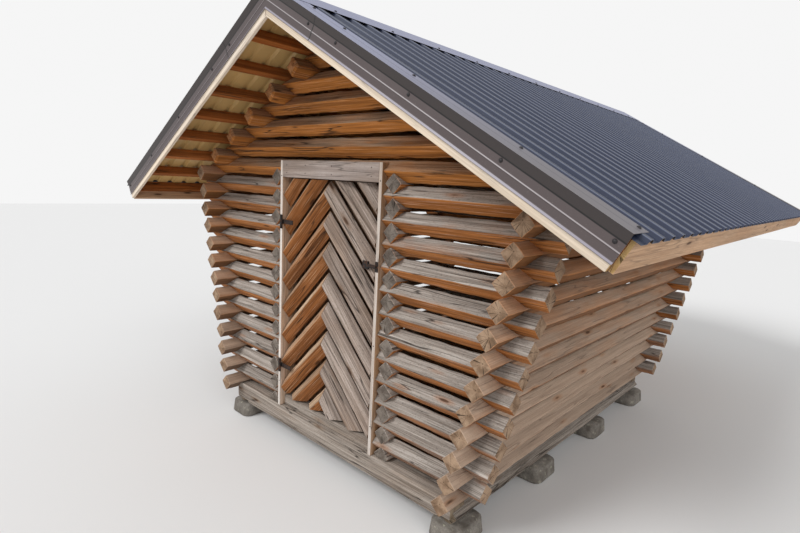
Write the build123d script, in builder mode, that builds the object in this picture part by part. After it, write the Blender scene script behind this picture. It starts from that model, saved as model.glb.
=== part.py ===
from build123d import *
import math
import os

os.makedirs("parts", exist_ok=True)

# Timbers of the walls: square and sawn, laid on edge so that one corner points up
timber = 100
arris = 4
course = 155

# Room: X runs across the front, Y runs back, Z is up and the ground is at zero
depth = 3175
foot_half_width = 1195
lean = 0.223
side_sill_level = 170
wall_courses = 13
side_overrun = 207
cross_overrun = 186

# Foundation: flat stones under the side sills and under the middle of the joists
stone_length = 320
stone_width = 260
stone_corner = 60
stone_taper = 7
stone_inset = 60
stones_per_side = 4
joist_stone = 220

# Sills, floor and the board that closes the slot under the front and back sill
sill_width = 150
sill_bottom = 165
sill_height = 140
sill_past_line = 33
side_sill_overrun = 45
joist = 100
joist_edge = 205
joists = 4
floor_thickness = 28
floor_edge = 45
skirt_height = 40
skirt_thickness = 25
skirt_setback = 30
skirt_edge = 85

# Doorway: jamb planks on edge, a header board and a threshold timber
opening_centre = -26
opening_width = 1056
jamb_thickness = 28
jamb_depth = 166
jamb_top = 2318
header_height = 128
header_thickness = 15
threshold_width = 80
threshold_height = 80
stub_setback = 80
stub_length = 140

# Door leaf: timbers on edge at 45 degrees, mitred down the middle, on upright boards
leaf_left_gap = 6
leaf_right_gap = 18
leaf_top_gap = 6
leaf_bottom_gap = 15
leaf_setback = 6
leaf_pitch = 160
leaf_first_apex = 2093
mitre_offset = -28
leaf_angle = 45
least_offcut = 30
backing_thickness = 22
backing_inset = 4

# Hinges: a plate on the jamb's edge, a strap on the leaf, and a pin between them
hinge_levels = (663, 1844)
hinge_height = 108
hinge_plate = 4
pin_radius = 4
pin_clearance = 0.4
barrel_radius = 10
barrel_standoff = 10
barrel_side_gap = 3
barrel_relief = 5
strap_length = 120
strap_height = 34
strap_thickness = 5
strap_root = 13

# Hasp: a block on the leaf, a slotted strap that folds, and a staple on the jamb
hasp_level = 1641
hasp_block_width = 56
hasp_block_height = 54
hasp_block_thickness = 10
hasp_edge_gap = 44
hasp_barrel = 5
hasp_pin = 2
hasp_height = 26
hasp_steel = 3
hasp_gap = 5
hasp_tail = 22
slot_length = 24
slot_height = 14
staple_plate_height = 70
staple_plate_steel = 3
staple_width = 16
staple_rod = 4
staple_reach = 18

# Roof: lengths down the slope start at the barge boards' lower apex, heights are square to it;
# it overhangs the front a little and runs on over an open bay behind
purlin_step = 277.5
eave_step = 236.5
purlin_drop = 12
batten_seat = 75
batten_width = 48
batten_height = 75
batten_spacing = 313
batten_ridge_gap = 150
overhang = 600
rear_overhang = 2175
board_thickness = 22
barge_height = 145
barge_length = 2496
fascia_drop = 3
fascia_height = 145

# Sheet metal of the roof, a little thicker than real sheet
sheet_steel = 1.5
rib_pitch = 137.5
rib_height = 18
rib_foot = 56
rib_crest = 26
sheet_past_fascia = 22
sheet_ridge_gap = 16
trim_steel = 2
trim_bottom = 36
trim_lip = 12
trim_lip_kick = 6
trim_crease = 85
trim_crease_width = 10
trim_crease_rise = 3
trim_step = 128
trim_lean = 9
trim_flange = 150
trim_past_barge = 4
cap_wing = 165
cap_steel = 2

# Levels and lines that the sizes above give
roof_half_length = (depth + overhang + rear_overhang) / 2
front = overhang - roof_half_length
back = front + depth
room_middle = (front + back) / 2
purlin_end = roof_half_length - overhang + side_overrun
slope = math.atan2(course, purlin_step)
slope_cos = math.cos(slope)
slope_sin = math.sin(slope)
half_diagonal = timber / math.sqrt(2)
ridge_out = half_diagonal - arris / math.sqrt(2)
sill_top = sill_bottom + sill_height
opening_left = opening_centre - opening_width / 2
opening_right = opening_centre + opening_width / 2
jamb_face = front - jamb_depth / 2
header_bottom = jamb_top - header_height
threshold_top = sill_top + threshold_height
joist_spacing = 2 * (foot_half_width - joist_edge) / (joists - 1)
trim_length = barge_length + trim_past_barge
battens = int((barge_length - batten_width - batten_ridge_gap) // batten_spacing) + 1
sheet_level = batten_seat + batten_height
rib_top = sheet_level + rib_height + sheet_steel


def save(builder, label):
    """Names a finished piece and writes it."""
    builder.part.label = label
    export_step(builder.part, f"parts/{label}.step")


def side_level(course_number):
    """Height of a side timber's centre; course 0 is the side sill."""
    return side_sill_level + course * course_number


def cross_level(course_number):
    """Height of a front or back timber's centre, half a course above the side timber."""
    return side_level(course_number) + course / 2


def wall_line(level):
    """Distance of a leaning side wall's centre line from the middle at a height."""
    return foot_half_width + lean * (level - side_sill_level)


# Purlins step in from the top side timbers; the roof lies a little above them
top_wall_line = wall_line(side_level(wall_courses))
gable_courses = int((top_wall_line - eave_step) // purlin_step)
first_purlin = top_wall_line - eave_step - purlin_step * (gable_courses - 1)
first_purlin_level = side_level(wall_courses + gable_courses)
apex = first_purlin_level + first_purlin * slope_sin / slope_cos + purlin_drop / slope_cos


def cross_section(y):
    """Upright plane across the building, X to the right and Z up; extrusions run to the front."""
    return Plane(origin=(0, y, 0), x_dir=(1, 0, 0), z_dir=(0, -1, 0))


def slope_point(side, down, up):
    """Point of a roof slope in a cross section: down the slope and up square to it."""
    x = side * (down * slope_cos + up * slope_sin)
    z = apex - down * slope_sin + up * slope_cos
    return (x, z)


def slope_block(side, down, width, up, height):
    """Four corners of a board that runs along the roof, width measured down the slope."""
    return [
        slope_point(side, down, up),
        slope_point(side, down + width, up),
        slope_point(side, down + width, up + height),
        slope_point(side, down, up + height),
    ]


def lengthwise(outlines, y_front, y_back):
    """Extrudes closed outlines of a cross section from one Y to another."""
    with BuildPart() as piece:
        with BuildSketch(cross_section(y_back)):
            for outline in outlines:
                with BuildLine():
                    Polyline(*outline, close=True)
                make_face()
        extrude(amount=y_back - y_front)
    return piece


# Section of a timber on edge, and its upper half, which the timber above is notched over
with BuildSketch() as timber_section:
    Rectangle(timber, timber, rotation=45)
    chamfer(timber_section.vertices(), arris)

with BuildSketch() as crest_section:
    add(timber_section.sketch)
    with Locations((0, -timber)):
        Rectangle(2 * timber, 2 * timber, mode=Mode.SUBTRACT)

# Where the lengthwise timbers cross the front and back walls
stub_right = opening_right + jamb_thickness + stub_setback
stub_left = opening_left - jamb_thickness - stub_setback
wall_range = range(1, wall_courses + 1)
notch_range = range(1, wall_courses)
gable_range = range(wall_courses + 1, wall_courses + gable_courses + 1)
purlin_notch_range = range(wall_courses, wall_courses + gable_courses)
side_places = [(side * wall_line(side_level(n)), side_level(n)) for n in wall_range for side in (-1, 1)]
stub_places = [(x, side_level(n)) for n in wall_range for x in (stub_left, stub_right)]
purlin_places = {
    side: [(side * (first_purlin + purlin_step * n), side_level(wall_courses + gable_courses - n))
           for n in range(gable_courses)]
    for side in (-1, 1)
}
ridge_place = (0, side_level(wall_courses + gable_courses + 1))


def timber_end(course_number):
    """Distance from the middle to the end of a front or back timber."""
    return wall_line(cross_level(course_number)) + cross_overrun


def cross_wall(y, courses, starts, stops, places):
    """Front or back timbers from one X to another, notched over the lengthwise timbers."""
    longest = max(stops) - min(starts)
    with BuildPart() as wall:
        with BuildSketch(Plane.YZ.offset(min(starts))):
            with Locations(*[(y, cross_level(n)) for n in courses]):
                add(timber_section.sketch)
        extrude(amount=longest)
        with BuildSketch(cross_section(y + timber)):
            with Locations(*places):
                add(crest_section.sketch)
            for n, start, stop in zip(courses, starts, stops):
                with Locations((start, cross_level(n))):
                    Rectangle(longest, course, align=(Align.MAX, Align.CENTER))
                with Locations((stop, cross_level(n))):
                    Rectangle(longest, course, align=(Align.MIN, Align.CENTER))
        extrude(amount=2 * timber, mode=Mode.SUBTRACT)
    return wall


def trim_to_roof(y):
    """Outline above the seat of the battens on both slopes, cut from the timbers at one wall."""
    top = (0, apex + batten_seat / slope_cos)
    right = slope_point(1, barge_length, batten_seat)
    left = slope_point(-1, barge_length, batten_seat)
    headroom = top[1] + timber
    with BuildSketch(cross_section(y + timber)) as above_roof:
        with BuildLine():
            Polyline(top, right, (right[0], headroom), (left[0], headroom), left, close=True)
        make_face()
    extrude(above_roof.sketch, amount=2 * timber, mode=Mode.SUBTRACT)


def lengthwise_timbers(places, courses, y_front, y_back, walls, x_start, x_end):
    """Timbers from front to back, notched over the wall timbers that they cross."""
    with BuildPart() as timbers:
        with BuildSketch(cross_section(y_back)):
            with Locations(*places):
                add(timber_section.sketch)
        extrude(amount=y_back - y_front)
        with BuildSketch(Plane.YZ.offset(x_start)):
            with Locations(*[(y, cross_level(n)) for n in courses for y in walls]):
                add(crest_section.sketch)
        extrude(amount=x_end - x_start, mode=Mode.SUBTRACT)
    return timbers


def seat_on_sills(part, x, walls):
    """Cuts the lowest timber square where it lies on the front and back sills."""
    with BuildPart() as seated:
        add(part.part)
        with Locations(*[(x, y, 0) for y in walls]):
            Box(4 * timber, sill_width, 2 * sill_top, mode=Mode.SUBTRACT)
    return seated


# Foundation stones: rounded blocks with sloping sides, lower ones under the sills
side_stone_step = (depth - 2 * stone_inset) / (stones_per_side - 1)
sill_stone_top = side_sill_level - timber / 2
joist_bottom = sill_top - floor_thickness - joist
with BuildPart() as foundation_stones:
    with BuildSketch():
        with Locations((0, room_middle)):
            with GridLocations(2 * foot_half_width, side_stone_step, 2, stones_per_side):
                RectangleRounded(stone_width, stone_length, stone_corner)
    extrude(amount=sill_stone_top, taper=stone_taper)
    with BuildSketch():
        with Locations((0, room_middle)):
            with GridLocations(joist_spacing, 1, joists, 1):
                RectangleRounded(joist_stone, joist_stone, stone_corner)
    extrude(amount=joist_bottom, taper=stone_taper)
save(foundation_stones, "foundation_stones")

# Side sills: the lowest lengthwise timbers, hewn flat below where they lie on the stones
for side, name in ((-1, "left_side_sill"), (1, "right_side_sill")):
    with BuildPart() as side_sill:
        with BuildSketch(cross_section(back + side_sill_overrun)):
            with Locations((side * foot_half_width, side_sill_level)):
                add(timber_section.sketch)
            with Locations((side * foot_half_width, sill_stone_top - timber / 2)):
                Rectangle(2 * timber, timber, mode=Mode.SUBTRACT)
        extrude(amount=depth + 2 * side_sill_overrun)
    save(side_sill, name)

# Front and back sills: square timbers notched over the side sills
for y, name in ((front, "front_sill"), (back, "back_sill")):
    with BuildPart() as sill:
        with Locations((0, y, sill_bottom + sill_height / 2)):
            Box(2 * (foot_half_width + sill_past_line), sill_width, sill_height)
        with BuildSketch(cross_section(0)):
            with Locations((-foot_half_width, side_sill_level), (foot_half_width, side_sill_level)):
                add(timber_section.sketch)
        extrude(amount=depth, both=True, mode=Mode.SUBTRACT)
    save(sill, name)

# Boards under the front and back sill, set back from their faces
with BuildPart() as skirt_boards:
    skirt_line = depth / 2 + sill_width / 2 - skirt_setback - skirt_thickness / 2
    with Locations(*[(0, room_middle + side * skirt_line, sill_bottom) for side in (-1, 1)]):
        Box(
            2 * (foot_half_width - skirt_edge),
            skirt_thickness,
            skirt_height,
            align=(Align.CENTER, Align.CENTER, Align.MAX),
        )
save(skirt_boards, "skirt_boards")

# Floor: joists from sill to sill and the boards on them, level with the sills
floor_length = depth - sill_width
with BuildPart() as floor_joists:
    with Locations((0, room_middle, joist_bottom + joist / 2)):
        with GridLocations(joist_spacing, 1, joists, 1):
            Box(joist, floor_length, joist)
save(floor_joists, "floor_joists")

with BuildPart() as floor_boards:
    with Locations((0, room_middle, sill_top - floor_thickness / 2)):
        Box(2 * (foot_half_width - floor_edge), floor_length, floor_thickness)
save(floor_boards, "floor_boards")

# Side walls: lengthwise timbers that step outwards, notched over the front and back timbers
widest_wall = top_wall_line + timber
for side, name in ((-1, "left_wall_timbers"), (1, "right_wall_timbers")):
    places = [place for place in side_places if place[0] * side > 0]
    x_start, x_end = sorted((side * (foot_half_width - timber), side * widest_wall))
    wall = lengthwise_timbers(
        places, notch_range, front - side_overrun, back + side_overrun, (front, back), x_start, x_end
    )
    save(seat_on_sills(wall, side * foot_half_width, (front, back)), name)

# Front wall beside the doorway: timbers from the corner to the jamb
beside_door = range(1, wall_courses)
left_ends = [-timber_end(n) for n in beside_door]
right_ends = [timber_end(n) for n in beside_door]
left_jamb_back = [opening_left - jamb_thickness] * len(beside_door)
right_jamb_back = [opening_right + jamb_thickness] * len(beside_door)
left_crossings = [place for place in side_places + stub_places if place[0] < opening_left]
right_crossings = [place for place in side_places + stub_places if place[0] > opening_right]
front_wall_left = cross_wall(front, beside_door, left_ends, left_jamb_back, left_crossings)
save(front_wall_left, "front_wall_timbers_left")
front_wall_right = cross_wall(front, beside_door, right_jamb_back, right_ends, right_crossings)
save(front_wall_right, "front_wall_timbers_right")

# Lintel timber and gable timbers of the front, their ends trimmed to the roof
lintel_and_gable = range(wall_courses, wall_courses + gable_courses + 1)
gable_crossings = purlin_places[-1] + purlin_places[1]
lintel_crossings = [place for place in side_places + stub_places if place[1] == side_level(wall_courses)]
front_gable = cross_wall(
    front,
    lintel_and_gable,
    [-timber_end(n) for n in lintel_and_gable],
    [timber_end(n) for n in lintel_and_gable],
    gable_crossings + lintel_crossings,
)
with front_gable:
    trim_to_roof(front)
save(front_gable, "front_gable_timbers")

# Back wall, closed, and its gable
back_wall = cross_wall(
    back,
    wall_range,
    [-timber_end(n) for n in wall_range],
    [timber_end(n) for n in wall_range],
    side_places,
)
with back_wall:
    trim_to_roof(back)
save(back_wall, "back_wall_timbers")

back_gable = cross_wall(
    back,
    gable_range,
    [-timber_end(n) for n in gable_range],
    [timber_end(n) for n in gable_range],
    gable_crossings,
)
with back_gable:
    trim_to_roof(back)
save(back_gable, "back_gable_timbers")

# Short blocks beside the doorway that carry the ends of the cut wall timbers
for x, name in ((stub_left, "doorway_blocks_left"), (stub_right, "doorway_blocks_right")):
    places = [(x, side_level(n)) for n in wall_range]
    block_front = front - stub_length / 2
    block_back = front + stub_length / 2
    blocks = lengthwise_timbers(
        places, notch_range, block_front, block_back, (front,), x - timber, x + timber
    )
    save(seat_on_sills(blocks, x, (front,)), name)

# Purlins: lengthwise timbers that sit in the gables and run on under the roof behind the room
for side, name in ((-1, "purlins_left"), (1, "purlins_right")):
    outermost = side * (first_purlin + purlin_step * gable_courses)
    x_start, x_end = sorted((0, outermost))
    purlins = lengthwise_timbers(
        purlin_places[side], purlin_notch_range, -purlin_end, purlin_end, (front, back), x_start, x_end
    )
    save(purlins, name)

ridge_course = (wall_courses + gable_courses,)
ridge_purlin = lengthwise_timbers(
    [ridge_place], ridge_course, -purlin_end, purlin_end, (front, back), -timber, timber
)
save(ridge_purlin, "ridge_purlin")

# Battens: planks on edge along the roof that carry the sheet out to the barge boards
barge_back = roof_half_length - board_thickness
last_batten = barge_length - batten_width
for side, name in ((-1, "battens_left"), (1, "battens_right")):
    battens_here = [
        slope_block(side, last_batten - batten_spacing * n, batten_width, batten_seat, batten_height)
        for n in range(battens)
    ]
    save(lengthwise(battens_here, -barge_back, barge_back), name)

# Barge boards: one down each slope at the front and at the back, mitred at the apex
barge_top = (0, apex + barge_height / slope_cos)
for side, name in ((-1, "barge_boards_left"), (1, "barge_boards_right")):
    outline = [
        (0, apex),
        slope_point(side, barge_length, 0),
        slope_point(side, barge_length, barge_height),
        barge_top,
    ]
    with BuildPart() as barge_boards:
        for y in (-barge_back, roof_half_length):
            with BuildSketch(cross_section(y)):
                with BuildLine():
                    Polyline(*outline, close=True)
                make_face()
            extrude(amount=board_thickness)
    save(barge_boards, name)

# Eave fascias: boards square to the slope along the lower edge of each side
for side, name in ((-1, "eave_fascia_left"), (1, "eave_fascia_right")):
    fascia_outline = slope_block(side, barge_length, board_thickness, fascia_drop, fascia_height)
    save(lengthwise([fascia_outline], -barge_back, barge_back), name)


def slope_plane(side, down):
    """Plane across a slope: local X along the roof, local Y square to the slope, facing down it."""
    x, z = slope_point(side, down, 0)
    return Plane(origin=(x, 0, z), x_dir=(0, side, 0), z_dir=(side * slope_cos, 0, -slope_sin))


# Roof sheets: trapezoid ribs that run down the slope, laid on the battens
rib_count = int(2 * roof_half_length // rib_pitch)
sheet_start = sheet_ridge_gap - rib_top * slope_sin / slope_cos
sheet_end = barge_length + board_thickness + sheet_past_fascia
sheet_line = [(-roof_half_length, sheet_level)]
for n in range(rib_count):
    middle = (n - (rib_count - 1) / 2) * rib_pitch
    sheet_line.append((middle - rib_foot / 2, sheet_level))
    sheet_line.append((middle - rib_crest / 2, sheet_level + rib_height))
    sheet_line.append((middle + rib_crest / 2, sheet_level + rib_height))
    sheet_line.append((middle + rib_foot / 2, sheet_level))
sheet_line.append((roof_half_length, sheet_level))
sheet_upper_line = [(y, up + sheet_steel) for y, up in reversed(sheet_line)]
for side, name in ((-1, "roof_sheet_left"), (1, "roof_sheet_right")):
    with BuildPart() as roof_sheet:
        with BuildSketch(slope_plane(side, sheet_end)):
            with BuildLine():
                Polyline(*sheet_line, *sheet_upper_line, close=True)
            make_face()
        extrude(amount=sheet_start - sheet_end)
    save(roof_sheet, name)

# Verge trims: folded metal over the barge boards, with a flange on the sheet's ribs
trim_top = rib_top + trim_steel
trim_outer = [
    (trim_lip_kick + trim_steel, trim_bottom),
    (trim_steel, trim_bottom + trim_lip),
    (trim_steel, trim_crease - trim_crease_width / 2),
    (trim_steel + trim_crease_rise, trim_crease),
    (trim_steel, trim_crease + trim_crease_width / 2),
    (trim_steel, trim_step),
    (trim_steel + trim_lean, trim_top),
    (-trim_flange, trim_top),
]
trim_inner = [
    (-trim_flange, rib_top),
    (trim_lean, rib_top),
    (0, trim_step),
    (0, trim_crease + trim_crease_width / 2),
    (trim_crease_rise, trim_crease),
    (0, trim_crease - trim_crease_width / 2),
    (0, trim_bottom + trim_lip),
    (trim_lip_kick, trim_bottom),
]
for side, name in ((-1, "verge_trims_left"), (1, "verge_trims_right")):
    with BuildPart() as verge_trims:
        for end in (-1, 1):
            fold = [(side * end * (roof_half_length + out), up) for out, up in trim_outer + trim_inner]
            with BuildSketch(slope_plane(side, trim_length)):
                with BuildLine():
                    Polyline(*fold, close=True)
                make_face()
            extrude(amount=-trim_length - rib_top)
        split(bisect_by=Plane.YZ, keep=Keep.TOP if side > 0 else Keep.BOTTOM)
    save(verge_trims, name)

# Ridge cap: folded metal over both slopes, laid on the trims' flanges
cap_low = rib_top + trim_steel
cap_high = cap_low + cap_steel
cap_outline = [
    slope_point(-1, cap_wing, cap_low),
    (0, apex + cap_low / slope_cos),
    slope_point(1, cap_wing, cap_low),
    slope_point(1, cap_wing, cap_high),
    (0, apex + cap_high / slope_cos),
    slope_point(-1, cap_wing, cap_high),
]
cap_half_length = roof_half_length + trim_lean
save(lengthwise([cap_outline], -cap_half_length, cap_half_length), "ridge_cap")

# Door jambs: planks on edge from the sill up past the lintel timber, which passes through them
jamb_height = jamb_top - sill_top
for x, name in (
    (opening_left - jamb_thickness / 2, "door_jamb_left"),
    (opening_right + jamb_thickness / 2, "door_jamb_right"),
):
    with BuildPart() as jamb:
        with Locations((x, front, sill_top + jamb_height / 2)):
            Box(jamb_thickness, jamb_depth, jamb_height)
        with BuildSketch(Plane.YZ.offset(x)):
            with Locations((front, cross_level(wall_courses))):
                add(timber_section.sketch)
        extrude(amount=jamb_thickness, both=True, mode=Mode.SUBTRACT)
    save(jamb, name)

# Header board between the jambs, in front of the lintel timber
with BuildPart() as door_header:
    with Locations((opening_centre, jamb_face + header_thickness / 2, header_bottom + header_height / 2)):
        Box(opening_width, header_thickness, header_height)
save(door_header, "door_header")

# Threshold timber on the sill
with BuildPart() as threshold:
    with Locations((opening_centre, front, sill_top + threshold_height / 2)):
        Box(opening_width, threshold_width, threshold_height)
save(threshold, "threshold")

# Door leaf: two sets of sloping timbers that meet on the mitre line
leaf_left = opening_left + leaf_left_gap
leaf_right = opening_right - leaf_right_gap
leaf_bottom = threshold_top + leaf_bottom_gap
leaf_top = header_bottom - leaf_top_gap
leaf_height = leaf_top - leaf_bottom
leaf_face = jamb_face + leaf_setback
leaf_middle = leaf_face + ridge_out
mitre = opening_centre + mitre_offset
leaf_rise = math.sin(math.radians(leaf_angle))
leaf_run = math.cos(math.radians(leaf_angle))
for side, edge, name in ((-1, leaf_left, "door_timbers_left"), (1, leaf_right, "door_timbers_right")):
    half_width = abs(edge - mitre)
    vertical_pitch = leaf_pitch / leaf_run
    fall = half_width * leaf_rise / leaf_run
    highest = math.floor((leaf_top + fall - least_offcut - leaf_first_apex) / vertical_pitch)
    lowest = math.ceil((leaf_bottom + least_offcut - leaf_first_apex) / vertical_pitch)
    run_plane = Plane(
        origin=(mitre, leaf_middle, leaf_first_apex),
        x_dir=(side * leaf_rise, 0, leaf_run),
        z_dir=(side * leaf_run, 0, -leaf_rise),
    )
    with BuildPart() as leaf_half:
        with BuildSketch(run_plane):
            with Locations(*[(n * leaf_pitch, 0) for n in range(lowest, highest + 1)]):
                add(timber_section.sketch)
        extrude(amount=2 * half_width / leaf_run, both=True)
        with Locations(((mitre + edge) / 2, leaf_middle, leaf_bottom + leaf_height / 2)):
            Box(half_width, 2 * timber, leaf_height, mode=Mode.INTERSECT)
    save(leaf_half, name)

# Boards up the back of the leaf, which hold its timbers together
backing_right = leaf_right - backing_inset
with BuildPart() as door_back_boards:
    with Locations((leaf_left, leaf_middle + ridge_out, leaf_bottom)):
        Box(
            backing_right - leaf_left,
            backing_thickness,
            leaf_height,
            align=(Align.MIN, Align.MIN, Align.MIN),
        )
save(door_back_boards, "door_back_boards")

# Hinge line, in front of the left jamb's edge and between jamb and leaf
hinge_x = opening_left + barrel_side_gap
hinge_y = jamb_face - barrel_standoff
strap_half = strap_height / 2
with BuildPart() as hinges_on_jamb:
    for z in hinge_levels:
        with Locations((hinge_x, hinge_y, z)):
            Cylinder(barrel_radius, hinge_height)
        with Locations((opening_left - jamb_thickness / 2, jamb_face - hinge_plate / 2, z)):
            Box(jamb_thickness - hinge_plate, hinge_plate, hinge_height)
        with Locations((hinge_x, hinge_y, z)):
            Cylinder(barrel_radius + barrel_relief, strap_height + 2 * pin_clearance, mode=Mode.SUBTRACT)
            Cylinder(pin_radius, hinge_height)
save(hinges_on_jamb, "hinges_on_jamb")

with BuildPart() as door_straps:
    for z in hinge_levels:
        with Locations((hinge_x, hinge_y, z)):
            Cylinder(barrel_radius, strap_height)
            Box(
                strap_root,
                barrel_standoff + leaf_setback,
                strap_height,
                align=(Align.MIN, Align.MIN, Align.CENTER),
            )
            Cylinder(pin_radius + pin_clearance, strap_height, mode=Mode.SUBTRACT)
        with Locations((hinge_x + strap_root, leaf_face - strap_thickness, z)):
            Box(
                strap_length,
                strap_thickness,
                strap_height,
                align=(Align.MIN, Align.MIN, Align.CENTER),
            )
save(door_straps, "door_straps")

# Hasp: a block on the leaf with the fixed half of its hinge
hasp_x = leaf_right - hasp_edge_gap
staple_face = jamb_face - staple_plate_steel
hasp_back = staple_face - hasp_gap
hasp_y = hasp_back + hasp_pin - hasp_steel / 2
barrel_gap = hasp_height + 2 * pin_clearance
with BuildPart() as hasp_block:
    with Locations((hasp_x, leaf_face, hasp_level)):
        Box(
            hasp_block_width,
            hasp_block_thickness,
            hasp_block_height,
            align=(Align.MAX, Align.MAX, Align.CENTER),
        )
    with Locations((hasp_x, hasp_y, hasp_level)):
        Cylinder(hasp_barrel, hasp_block_height)
        Cylinder(hasp_barrel + barrel_relief, barrel_gap, mode=Mode.SUBTRACT)
        Cylinder(hasp_pin, hasp_block_height)
save(hasp_block, "hasp_block")

# Hasp strap: it folds over the staple
staple_x = opening_right + jamb_thickness / 2
hasp_end = staple_x + hasp_tail
with BuildPart() as hasp_strap:
    with Locations((hasp_x, hasp_y, hasp_level)):
        Cylinder(hasp_barrel, hasp_height)
        Cylinder(hasp_pin + pin_clearance, hasp_height, mode=Mode.SUBTRACT)
    with Locations((hasp_x + hasp_pin + pin_clearance, hasp_back, hasp_level)):
        Box(
            hasp_end - hasp_x - hasp_pin - pin_clearance,
            hasp_steel,
            hasp_height,
            align=(Align.MIN, Align.MAX, Align.CENTER),
        )
    with Locations((staple_x, hasp_back, hasp_level)):
        Box(slot_length, 2 * hasp_steel, slot_height, mode=Mode.SUBTRACT)
save(hasp_strap, "hasp_strap")

# Staple: a plate on the jamb's edge with a loop of rod through the hasp's slot
with BuildPart() as staple:
    with Locations((staple_x, jamb_face - staple_plate_steel / 2, hasp_level)):
        Box(jamb_thickness, staple_plate_steel, staple_plate_height)
    with BuildSketch(Plane.XY.offset(hasp_level)):
        with Locations((staple_x, staple_face - staple_reach / 2)):
            Rectangle(staple_width, staple_reach)
            Rectangle(staple_width - 2 * staple_rod, staple_reach - 2 * staple_rod, mode=Mode.SUBTRACT)
    extrude(amount=staple_rod / 2, both=True)
save(staple, "staple")
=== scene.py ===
import math

import bpy
import numpy as np
from mathutils import Matrix


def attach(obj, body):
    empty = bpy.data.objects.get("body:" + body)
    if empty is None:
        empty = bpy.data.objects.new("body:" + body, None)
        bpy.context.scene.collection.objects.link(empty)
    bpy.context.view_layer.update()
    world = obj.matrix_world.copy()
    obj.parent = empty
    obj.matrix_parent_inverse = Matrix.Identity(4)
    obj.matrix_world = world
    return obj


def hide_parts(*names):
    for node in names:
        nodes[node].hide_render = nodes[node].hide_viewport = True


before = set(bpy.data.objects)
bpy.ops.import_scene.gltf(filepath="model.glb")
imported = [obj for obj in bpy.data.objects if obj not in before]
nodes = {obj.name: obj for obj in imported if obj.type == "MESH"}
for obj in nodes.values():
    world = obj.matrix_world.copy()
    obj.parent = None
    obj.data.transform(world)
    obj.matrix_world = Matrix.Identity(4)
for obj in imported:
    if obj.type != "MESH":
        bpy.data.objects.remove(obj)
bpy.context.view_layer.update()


# Foundation stones: flat field stones under the side sills, and smaller ones under the joists.
# They are laid loose on the ground, with worn corners and a lichened grey face.
chance = np.random.default_rng(23)
depth = 3.175
front = -2.375
back = front + depth
room_middle = (front + back) / 2
foot_half_width = 1.195
stone_inset = 0.06
joist_lines = (-0.99, -0.33, 0.33, 0.99)
standing = ((0, 0, 1), (1, 0, 0), (0, 1, 0))


def rounded_section(width, height, corner, turn=0.0):
    """Closed outline of a rectangle with quarter circles at its corners, three points between them,
    turned about its middle by an angle in degrees. It runs anticlockwise."""
    arc = np.radians([0, 30, 60, 90])
    across = width / 2 - corner
    upward = height / 2 - corner
    signs = ((1, 1), (-1, 1), (-1, -1), (1, -1))
    corners = []
    for quarter, (a, b) in enumerate(signs):
        angle = arc + quarter * math.pi / 2
        x = a * across + corner * np.cos(angle)
        y = b * upward + corner * np.sin(angle)
        corners.append(np.stack([x, y], 1))
    between = np.linspace(0, 1, 5)[1:-1, None]
    outline = []
    for quarter in range(4):
        following = corners[(quarter + 1) % 4][0]
        outline.append(corners[quarter])
        outline.append(corners[quarter][-1] * (1 - between) + following * between)
    outline = np.concatenate(outline)
    angle = math.radians(turn)
    turned = np.array([[math.cos(angle), math.sin(angle)], [-math.sin(angle), math.cos(angle)]])
    return outline @ turned


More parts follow.
